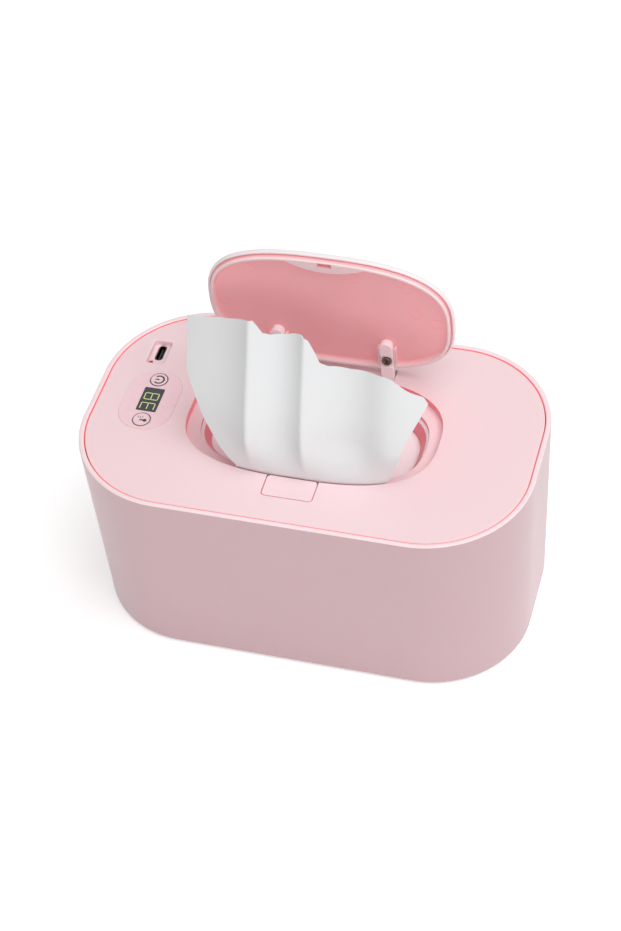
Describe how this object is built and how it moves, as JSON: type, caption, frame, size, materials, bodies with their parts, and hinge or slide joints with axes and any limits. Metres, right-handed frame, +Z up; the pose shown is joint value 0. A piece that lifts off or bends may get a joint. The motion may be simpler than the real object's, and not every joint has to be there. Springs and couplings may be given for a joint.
{
  "type": "baby wipe warmer",
  "caption": "Long round-cornered casing with a lift-off cover, a sprung oval lid over a heated outlet with a wipe standing in it, and a side panel with keys and a display.",
  "frame": {"origin": "on the floor under the middle of the casing", "axes": "+X along the casing's length, away from the keys; +Y towards the lid's hinge at the back; +Z up"},
  "size_m": [0.2, 0.12, 0.1588],
  "materials": {
    "casing": "fine satin moulded plastic, pale dusty pink",
    "feet": "soft pale grey rubber",
    "liner": "smooth white plastic",
    "foam": "closed-cell foam",
    "cover": "satin moulded plastic, pale pink",
    "well": "satin moulded plastic, pink",
    "gasket": "soft silicone",
    "screws": "nickel-plated steel",
    "springs": "drawn spring wire",
    "film": "amber polyimide heater film",
    "plate": "rolled sheet",
    "fuse": "white ceramic-like sleeve",
    "electronics": "black moulded plastic",
    "board": "green solder mask",
    "window": "dark smoked display window",
    "label": "printed film, warmer pink than the cover",
    "keys": "soft satin plastic",
    "socket": "drawn steel shell, dark inside",
    "indicator": "dark red light pipe",
    "lid": "satin moulded plastic, pale pink",
    "tray": "satin moulded plastic, dusty rose",
    "wipe": "soft non-woven, thick and slightly fluffy"
  },
  "bodies": {
    "housing": {"outer_shell": "casing", "foot_front_left": "feet", "foot_front_right": "feet", "foot_rear_left": "feet", "foot_rear_right": "feet", "inner_tub": "liner", "insulation_sleeve": "foam", "insulation_pad": "foam"},
    "cover": {"top_cover": "cover", "under_cover": "well", "cover_gasket": "gasket", "cover_screw_front_left": "screws", "cover_screw_front_right": "screws", "cover_screw_rear_left": "screws", "cover_screw_rear_right": "screws", "heater_film": "film", "warming_plate": "plate", "thermistor": "electronics", "thermal_fuse": "fuse", "heater_lead": "electronics", "control_board": "board", "board_screw_1": "screws", "board_screw_2": "screws", "board_screw_3": "screws", "display_module": "electronics", "display_window": "window", "control_label": "label", "power_switch": "electronics", "temperature_switch": "electronics", "usb_socket": "socket", "power_indicator": "indicator", "hinge_pin_left": "screws", "hinge_pin_right": "screws", "lid_spring": "springs", "latch_spring": "springs", "wipe": "wipe"},
    "lid": {"lid_outer": "lid", "lid_inner": "tray", "lid_arm_left": "tray", "lid_arm_right": "tray", "arm_screw_left": "screws", "arm_screw_right": "screws"},
    "latch_button": {"latch_button": "cover"},
    "latch_slider": {"latch_hook": "liner"},
    "power_key": {"power_button": "keys"},
    "temperature_key": {"temperature_button": "keys"}
  },
  "joints": [
    {"name": "cover_lift", "type": "slide", "parent": "housing", "child": "cover", "axis": [0, 0, 1], "range_m": [0, 0.06]},
    {"name": "lid_hinge", "type": "hinge", "parent": "cover", "child": "lid", "pos_m": [0, 0.036, 0.091], "axis": [1, 0, 0], "range_deg": [0, 88], "stiffness_Nm_per_rad": 0.012, "springref_deg": -17.19, "deforming": ["wipe"]},
    {"name": "latch_press", "type": "slide", "parent": "cover", "child": "latch_button", "axis": [0, 0, -1], "range_m": [0, 0.001], "stiffness_N_per_m": 500, "springref_m": -0.001},
    {"name": "latch_slide", "type": "slide", "parent": "cover", "child": "latch_slider", "axis": [0, -1, 0], "range_m": [0, 0.001]},
    {"name": "power_press", "type": "slide", "parent": "cover", "child": "power_key", "axis": [0, 0, -1], "range_m": [0, 0.0004], "stiffness_N_per_m": 800, "springref_m": -0.0006},
    {"name": "temperature_press", "type": "slide", "parent": "cover", "child": "temperature_key", "axis": [0, 0, -1], "range_m": [0, 0.0004], "stiffness_N_per_m": 800, "springref_m": -0.0006}
  ],
  "couplings": [
    {"joint": "latch_slide", "follows": "latch_press", "ratio": 1}
  ]
}
